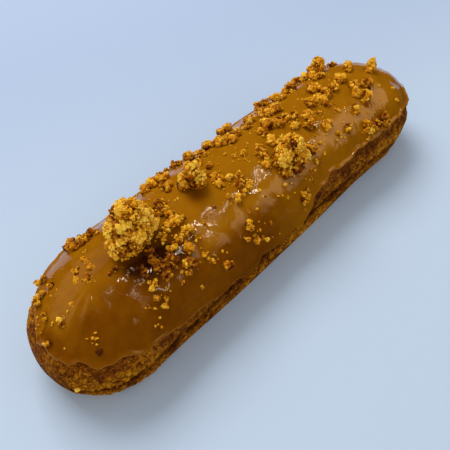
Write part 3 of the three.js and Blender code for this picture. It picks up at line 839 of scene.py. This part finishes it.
for column, row, lean, radius in TALL_CRUMBS:
    foot, up = over_form(*seen_on_glaze(column, row), GLAZE + TALL_RISE * radius)
    for share in np.linspace(0, 1, TALL_NUGGETS):
        size = radius * (1 - TALL_TAPER * share)
        other_crumbs.nugget(foot + share * np.array(lean), up, size, tone=0.5, grains=14)
other_crumbs.add(CRUST_CRUMB_AT, radius=0.55, tone=0.85, forms=KNOBS)
dry_places = [(*seen_on_glaze(column, row), reach) for column, row, reach, _, _ in DRY_PATCHES]
for _ in range(LOOSE_CRUMBS):
    patch_x, patch_y, reach = dry_places[other_crumbs.random.integers(len(dry_places))]
    near_x, near_y = other_crumbs.random.normal(0, LOOSE_SPREAD * reach + LOOSE_SPREAD_MORE, 2)
    radius = other_crumbs.random.uniform(low=0.20, high=0.42)
    centre, up = over_form(patch_x + near_x, patch_y + near_y, GLAZE + LOOSE_RISE * radius)
    if centre[2] > LIP_Z + LOOSE_ABOVE_LIP:
        other_crumbs.add(centre, radius, other_crumbs.random.normal(loc=0.65, scale=0.12))
crumb_pieces = [dry_crumbs.join(), other_crumbs.join()]
wet_piece = wet_crumbs.join()

# %% [markdown]
# ## Writing finishes as sums
#
# A finish is a small tree of nodes. It reads best as arithmetic, so one class wraps a socket and gives
# it the signs that are used below, and another makes any node from its type, its settings and the
# values of its sockets.

# %% Node helpers
NOISE_MIDDLE = 0.5
# The numbers of a Mix node's sockets for two colours and for the colour that it makes.
FIRST_COLOUR, SECOND_COLOUR, MIXED_COLOUR = 6, 7, 2


class Link:
    """A socket that can be added, taken away and multiplied."""

    def __init__(self, finish, socket):
        self.finish = finish
        self.socket = socket

    def math(self, operation, first, second):
        return self.finish.node("ShaderNodeMath", {"operation": operation}, {0: first, 1: second})

    def __add__(self, other):
        return self.math("ADD", self, other)

    __radd__ = __add__

    def __sub__(self, other):
        return self.math("SUBTRACT", self, other)

    def __rsub__(self, other):
        return self.math("SUBTRACT", other, self)

    def __mul__(self, other):
        return self.math("MULTIPLY", self, other)

    __rmul__ = __mul__

    def clamped(self, low, high):
        """A share that rises softly from 0 at the low value to 1 at the high one."""
        settings = {"interpolation_type": "SMOOTHSTEP"}
        sockets = {"Value": self, "From Min": low, "From Max": high}
        return self.finish.node("ShaderNodeMapRange", settings, sockets)

    def swing(self, by):
        """How far a noise is from its middle, times an amount."""
        return (self - NOISE_MIDDLE) * by


class Finish:
    """A material that is built node by node."""

    def __init__(self, name):
        self.material = bpy.data.materials.new(name)
        self.material.use_nodes = True
        self.tree = self.material.node_tree
        self.tree.nodes.clear()

    def node(self, kind, settings=None, inputs=None, output=0):
        made = self.tree.nodes.new(kind)
        for key, value in (settings or {}).items():
            if key == "stops":
                self.set_stops(made.color_ramp, value)
            else:
                setattr(made, key, value)
        for key, value in (inputs or {}).items():
            if isinstance(value, Link):
                self.tree.links.new(value.socket, made.inputs[key])
            else:
                made.inputs[key].default_value = value
        return Link(self, made.outputs[output]) if len(made.outputs) else None

    @staticmethod
    def set_stops(ramp, stops):
        while len(ramp.elements) < len(stops):
            ramp.elements.new(1.0)
        for element, (place, colour) in zip(ramp.elements, stops):
            element.position = place
            element.color = (*colour, 1.0)

    def place(self):
        """Object coordinates in millimetres."""
        place = self.node("ShaderNodeTexCoord", output="Object")
        return self.node("ShaderNodeVectorMath", {"operation": "SCALE"}, {0: place, "Scale": 1 / MM})

    def noise(self, place, span, detail=3.0, rough=0.55):
        sockets = {"Vector": place, "Scale": 1 / span, "Detail": detail, "Roughness": rough}
        return self.node("ShaderNodeTexNoise", None, sockets)

    def mixed(self, factor, first, second):
        """Two colours mixed by a factor."""
        sockets = {0: factor, FIRST_COLOUR: first, SECOND_COLOUR: second}
        return self.node("ShaderNodeMix", {"data_type": "RGBA"}, sockets, output=MIXED_COLOUR)

    def ramp(self, factor, stops):
        return self.node("ShaderNodeValToRGB", {"stops": stops}, {"Fac": factor})

    def value_at(self, attribute):
        return self.node("ShaderNodeAttribute", {"attribute_name": attribute}, output="Fac")

    def bump(self, height, strength, distance):
        """A normal bent by a height, with the distance in millimetres."""
        sockets = {"Height": height, "Strength": strength, "Distance": distance * MM}
        return self.node("ShaderNodeBump", None, sockets)

    def surface(self, colour, rough, *more):
        """Ends the tree with a colour, a roughness and more sockets."""
        sockets = {"Base Color": colour, "Roughness": rough}
        for others in more:
            sockets.update(others)
        shader = self.node("ShaderNodeBsdfPrincipled", None, sockets)
        self.node("ShaderNodeOutputMaterial", None, {"Surface": shader})
        return self.material


def scattering(weight, shares, depth):
    """The sockets of light that goes in: how much, how far in each colour, and its depth in mm."""
    return {"Subsurface Weight": weight, "Subsurface Radius": shares, "Subsurface Scale": depth * MM}

# %% [markdown]
# ## Baked crust
#
# The crust is golden where it is thin and stretched and red-brown where it is thick, its own colour, and
# its pits are painted nearly black, a painted shade over their real shadows. The relief attribute tells
# pits from ridges, and three noises of different size break the colour up, as flour and egg do on the
# real one. Just under the glaze the crust is a little darker and redder, a painted shade under the
# caramel's edge.

# %% Crust finish
# The middle tone, how much the relief changes it, with painted shade in the pits, and how much darker the
# painted shade under the glaze makes it.
CRUST_TONE, RELIEF_TONE, SHADED_TONE = 0.46, 0.42, 0.12
# How much of a redder colour the painted shade under the glaze mixes in, and that colour.
SHADED_MIX, SHADED_COLOUR = 0.16, (0.20, 0.045, 0.010, 1.0)
CRUST_STOPS = [
    (0.05, (0.026, 0.005, 0.0003)), (0.28, (0.100, 0.023, 0.0005)), (0.48, (0.240, 0.075, 0.0010)),
    (0.68, (0.440, 0.175, 0.0030)), (0.92, (0.740, 0.400, 0.040)),
]
CRUST_ROUGH, CRUST_GLOSS, MOTTLE_BUMP, SPECK_BUMP = 0.62, 0.03, 0.6, 0.4


def crust_finish():
    finish = Finish("choux_crust")
    place = finish.place()
    patches = finish.noise(place, span=7.0, detail=2.0)
    mottle = finish.noise(place, span=1.1, detail=4.0, rough=0.65)
    specks = finish.noise(place, span=0.5, detail=2.0)
    # Painted shade just under the glaze's edge: 1 at the edge, 0 lower down.
    shaded = 1 - finish.value_at("under_lip").clamped(low=0.6, high=5.5)
    # Higher relief is lighter: painted shade in the pits, the crust's own gold on the ridges.
    tone = finish.value_at("relief") * RELIEF_TONE + CRUST_TONE + mottle.swing(by=1.0)
    tone = tone + patches.swing(by=0.7) + specks.swing(by=0.9)
    colour = finish.ramp(tone - shaded * SHADED_TONE, CRUST_STOPS)
    colour = finish.mixed(shaded * SHADED_MIX, colour, SHADED_COLOUR)
    bump = finish.bump(mottle * MOTTLE_BUMP + specks * SPECK_BUMP, strength=0.5, distance=0.35)
    more = {"Normal": bump, "Specular IOR Level": CRUST_GLOSS}
    scattered = scattering(weight=0.08, shares=(1.0, 0.4, 0.05), depth=0.6)
    return finish.surface(colour, CRUST_ROUGH + mottle.swing(by=0.4), more, scattered)


shell.data.materials.append(crust_finish())

# %% [markdown]
# ## Caramel glaze
#
# Set caramel glaze is a cloudy gel: light goes a little way in and comes back amber. So it gets a deep
# amber colour, some scattering under the surface and a smooth clear face. Painted shade darkens it over
# the near end, low on the near side and against the clumps, and a painted highlight makes its edge pale.
# Slow clouds and finer streaks make the rest uneven. Its tiny wrinkles and dimples are finer than the
# mesh, so they are bump.

# %% Glaze finish
# How far the painted shade darkens the caramel, and its colour from light to dark.
PAINTED_SHADE_DEPTH = 0.5
GLAZE_STOPS = [
    (0.00, (0.350, 0.134, 0.0025)), (0.20, (0.280, 0.099, 0.0014)), (0.50, (0.185, 0.054, 0.0005)),
    (1.00, (0.045, 0.009, 0.0003)),
]
# A painted highlight along the glaze's rounded edge: how much of it, and its pale colour.
EDGE_HIGHLIGHT_MIX, EDGE_HIGHLIGHT_COLOUR = 0.7, (0.43, 0.19, 0.020, 1.0)
GLAZE_ROUGH, GLAZE_IOR, DIMPLE_BUMP = 0.07, 1.46, 1.2


def glaze_finish():
    finish = Finish("caramel_glaze")
    place = finish.place()
    clouds = finish.noise(place, span=10.0, detail=2.0)
    streaks = finish.noise(place, span=3.0, detail=3.0)
    # The painted shade darkens the caramel; the clouds and streaks are its own uneven colour.
    depth = finish.value_at("pooled") * PAINTED_SHADE_DEPTH + clouds.swing(by=0.36) + streaks.swing(by=0.32)
    # The edge is painted pale, a painted highlight.
    edge = finish.value_at("edge").clamped(low=0.925, high=0.975)
    colour = finish.mixed(edge * EDGE_HIGHLIGHT_MIX, finish.ramp(depth, GLAZE_STOPS), EDGE_HIGHLIGHT_COLOUR)
    wrinkled = finish.noise(place, span=5.0, detail=1.0).clamped(low=0.52, high=0.66)
    wrinkles = finish.noise(place, span=0.9, detail=1.0) * wrinkled
    dimples = finish.noise(place, span=0.45, detail=1.0) * finish.value_at("dimpled")
    bump = finish.bump(wrinkles + dimples * DIMPLE_BUMP, strength=0.35, distance=0.3)
    more = {"Normal": bump, "IOR": GLAZE_IOR}
    scattered = scattering(weight=0.2, shares=(1.0, 0.35, 0.03), depth=1.0)
    return finish.surface(colour, GLAZE_ROUGH + streaks.swing(by=0.06), more, scattered)


glaze.data.materials.append(glaze_finish())

# %% [markdown]
# ## Crumble
#
# Every grain's tone picks a colour between burnt brown and pale straw, and a fine noise makes the grain
# itself uneven. Butter and sugar make it a little glossy. The browner nuggets have darker colours, and
# the crumbs that lie in the caramel have the same ones and a wetter shine.

# %% Crumble finishes
GOLDEN_STOPS = [
    (0.00, (0.070, 0.011, 0.001)), (0.22, (0.240, 0.058, 0.001)), (0.45, (0.540, 0.195, 0.002)),
    (0.70, (0.820, 0.375, 0.010)), (1.00, (0.950, 0.565, 0.060)),
]
DARK_STOPS = [
    (0.00, (0.080, 0.014, 0.001)), (0.25, (0.290, 0.070, 0.001)), (0.55, (0.590, 0.210, 0.002)),
    (0.80, (0.800, 0.370, 0.010)), (1.00, (0.900, 0.540, 0.050)),
]


def crumble_finish(name, stops, rough, gloss):
    finish = Finish(name)
    fine = finish.noise(finish.place(), span=0.7, detail=3.0, rough=0.6)
    colour = finish.ramp(finish.value_at("tone") + fine.swing(by=0.5), stops)
    more = {"Normal": finish.bump(fine, strength=0.5, distance=0.25), "Specular IOR Level": gloss}
    scattered = scattering(weight=0.25, shares=(1.0, 0.45, 0.03), depth=0.6)
    return finish.surface(colour, rough, more, scattered)


golden = crumble_finish("crumble", GOLDEN_STOPS, rough=0.45, gloss=0.12)
dark = crumble_finish("crumble_dark", DARK_STOPS, rough=0.40, gloss=0.15)
wet = crumble_finish("crumble_wet", DARK_STOPS, rough=0.28, gloss=0.30)
wet_piece.data.materials.append(wet)
for node, piece in clumps.items():
    piece.data.materials.append(dark if node == "clump_dark" else golden)
for piece in crumb_pieces:
    piece.data.materials.append(golden)

# %% [markdown]
# ## What each piece stands for
#
# Every piece rides on the one body, and the solid that it stands for is hidden.

# %% Ride on the body and hide the solids
for piece, node, finish_name in [
    (shell, "choux_shell", "choux_crust"),
    (glaze, "glaze", "caramel_glaze"),
    *((piece, "glaze", "crumble") for piece in crumb_pieces),
    (wet_piece, "glaze", "crumble_dark"),
    (clumps["clump_large"], "clump_large", "crumble"),
    (clumps["clump_dark"], "clump_dark", "crumble_dark"),
    (clumps["clump_middle"], "clump_middle", "crumble"),
    (clumps["clump_far"], "clump_far", "crumble"),
]:
    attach(piece, "root")
    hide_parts(node)

# %% [markdown]
# ## Floor
#
# The floor is plain pale blue paper with a painted shade, a little darker away from the camera, as the
# picture has it. It lies a hair under the foot, because two faces in one plane would flicker through each
# other.

# %% Floor
FLOOR_REACH, FLOOR_BELOW = (12000, 12000), 0.03
# The paper's colour near the camera, its colour far off with painted shade, and the way the shade runs.
FLOOR_COLOUR, FLOOR_FAR_SHADE_COLOUR = (0.535, 0.665, 0.850, 1.0), (0.42, 0.53, 0.745, 1.0)
FLOOR_SHADE_ALONG, FLOOR_ROUGH, FLOOR_IOR = (0.25, 0.70, 0.0), 0.9, 1.2


def sheet(name, reach, at, finish):
    """A flat sheet. Its length, its width and its middle are in millimetres."""
    bm = bmesh.new()
    bmesh.ops.create_grid(bm, x_segments=1, y_segments=1, size=1.0)
    bmesh.ops.scale(bm, verts=bm.verts, vec=(reach[0] / 2 * MM, reach[1] / 2 * MM, 1))
    bmesh.ops.translate(bm, verts=bm.verts, vec=[value * MM for value in at])
    made = finished(name, bm)
    made.data.materials.append(finish)
    return made


paper = Finish("pale_floor")
# Painted shade: the paper turns darker away from the camera.
along_and_away = {0: paper.place(), 1: FLOOR_SHADE_ALONG}
away = paper.node("ShaderNodeVectorMath", {"operation": "DOT_PRODUCT"}, along_and_away, output=1)
paper_colour = paper.mixed(away.clamped(low=-20.0, high=90.0), FLOOR_COLOUR, FLOOR_FAR_SHADE_COLOUR)
paper_finish = paper.surface(paper_colour, FLOOR_ROUGH, {"IOR": FLOOR_IOR})
floor = sheet("floor", FLOOR_REACH, (0, 0, -FLOOR_BELOW), paper_finish)

# %% [markdown]
# ## A dark flag
#
# A photographer lays black cloth beside a glossy thing, so that its side doesn't mirror the bright
# table. The flag does that for the near side of the caramel. It lies on the floor, and only the gloss
# sees it.

# %% Flag
FLAG_REACH, FLAG_AT = (820, 1000), (190, -502, 0.05)
FLAG_COLOUR, FLAG_ROUGH = (0.02, 0.01, 0.005, 1.0), 1.0
flag = sheet("flag", FLAG_REACH, FLAG_AT, Finish("flag_cloth").surface(FLAG_COLOUR, FLAG_ROUGH))
flag.visible_camera = False
flag.visible_diffuse = False
flag.visible_shadow = False
flag.visible_transmission = False

# %% [markdown]
# ## Light
#
# A large soft lamp stands high on the far side, with two weak fills low on the left and on the near
# side, and a dim sky. None of these is seen in the gloss, as they would lay a white veil over the dark
# caramel. What the gloss does show lights nothing else: two amber screens with fading edges, a slim
# strip, and four short rows of tubes for the small sharp glints.

# %% World
SKY_COLOUR, SKY_STRENGTH = (1.0, 0.97, 0.93, 1.0), 0.50
world = bpy.data.worlds.new("studio")
world.use_nodes = True
sky = world.node_tree.nodes["Background"]
sky.inputs["Color"].default_value = SKY_COLOUR
sky.inputs["Strength"].default_value = SKY_STRENGTH
bpy.context.scene.world = world
world.cycles_visibility.glossy = False
bpy.context.scene.view_settings.view_transform = "Standard"

# %% Lamps
WARM_WHITE = (1.0, 0.97, 0.92)
AMBER_WHITE = (1.0, 0.65, 0.35)
PALE_AMBER = (1.0, 0.85, 0.60)
TUBE_WHITE = (1.0, 0.80, 0.56)
# Name; azimuth and elevation in degrees and distance; width and height; and power in watts.
FILLS = [
    ("key", (82, 55, 710), (460, 360), 3.5),
    ("left_fill", (205, 15, 700), (400, 160), 0.8),
    ("near_fill", (-62, 15, 900), (500, 140), 0.62),
]
SCREENS = [
    ("right_screen", (-27, 42, 900), (640, 340), 1.5),
    ("left_screen", (110, 41, 900), (1100, 620), 1.65),
]
# The sizes of the lamps in a screen, and how much nearer each one stands than the one before.
SCREEN_PARTS, SCREEN_STEP = (1.0, 0.92, 0.84, 0.76, 0.68), 0.004
STRIP_AT, STRIP_ALONG = (-75, 47, 600), (-0.3, -0.36, -0.26)
# Azimuth and lowest elevation of each row of tubes.
TUBE_ROWS = [(49, 74), (-32, 64), (-15, 56), (-4, 51)]
TUBES, TUBE_SPACING, TUBE_DISTANCE, TUBE_SIZE, TUBE_POWER = 4, 4, 600, (30, 5), 0.034
AIMED_AT = Vector((0, 0, 20))


def towards(azimuth, elevation, distance):
    """The place, in millimetres, that is seen from the eclair in a direction given in degrees."""
    across, up = math.radians(azimuth), math.radians(elevation)
    flat = math.cos(up)
    return Vector((flat * math.cos(across), flat * math.sin(across), math.sin(up))) * distance


def lamp(name, at, size, power, colour, along=(0, 0, -1), in_gloss=True):
    """A rectangular lamp aimed at the eclair. One that shows in the gloss lights nothing else."""
    data = bpy.data.lights.new(name, "AREA")
    data.shape = "RECTANGLE"
    data.size, data.size_y = (value * MM for value in size)
    data.energy = power
    data.color = colour
    made = added(name, data)
    made.matrix_world = Matrix.Translation(at * MM) @ turn_from_axes(AIMED_AT - at, Vector(along)).to_4x4()
    made.visible_glossy = in_gloss
    made.visible_diffuse = not in_gloss
    made.visible_camera = False


def screen(name, at, size, power, colour):
    """A screen whose edge fades, made of lamps of several sizes, one inside the other."""
    for i, part in enumerate(SCREEN_PARTS):
        inside = [value * part for value in size]
        share = power * part ** 2 / len(SCREEN_PARTS)
        lamp(f"{name}_{i}", at * (1 - SCREEN_STEP * i), inside, share, colour)


for name, place, size, power in FILLS:
    lamp(name, towards(*place), size, power, WARM_WHITE, in_gloss=False)
for name, place, size, power in SCREENS:
    screen(name, towards(*place), size, power, AMBER_WHITE)
lamp("near_strip", towards(*STRIP_AT), size=(3, 180), power=0.05, colour=PALE_AMBER, along=STRIP_ALONG)
for azimuth, elevation in TUBE_ROWS:
    for i in range(TUBES):
        at = towards(azimuth, elevation + TUBE_SPACING * i, TUBE_DISTANCE)
        lamp(f"tube_{azimuth}_{i}", at, TUBE_SIZE, TUBE_POWER, TUBE_WHITE)
print("lamps", len(bpy.data.lights))
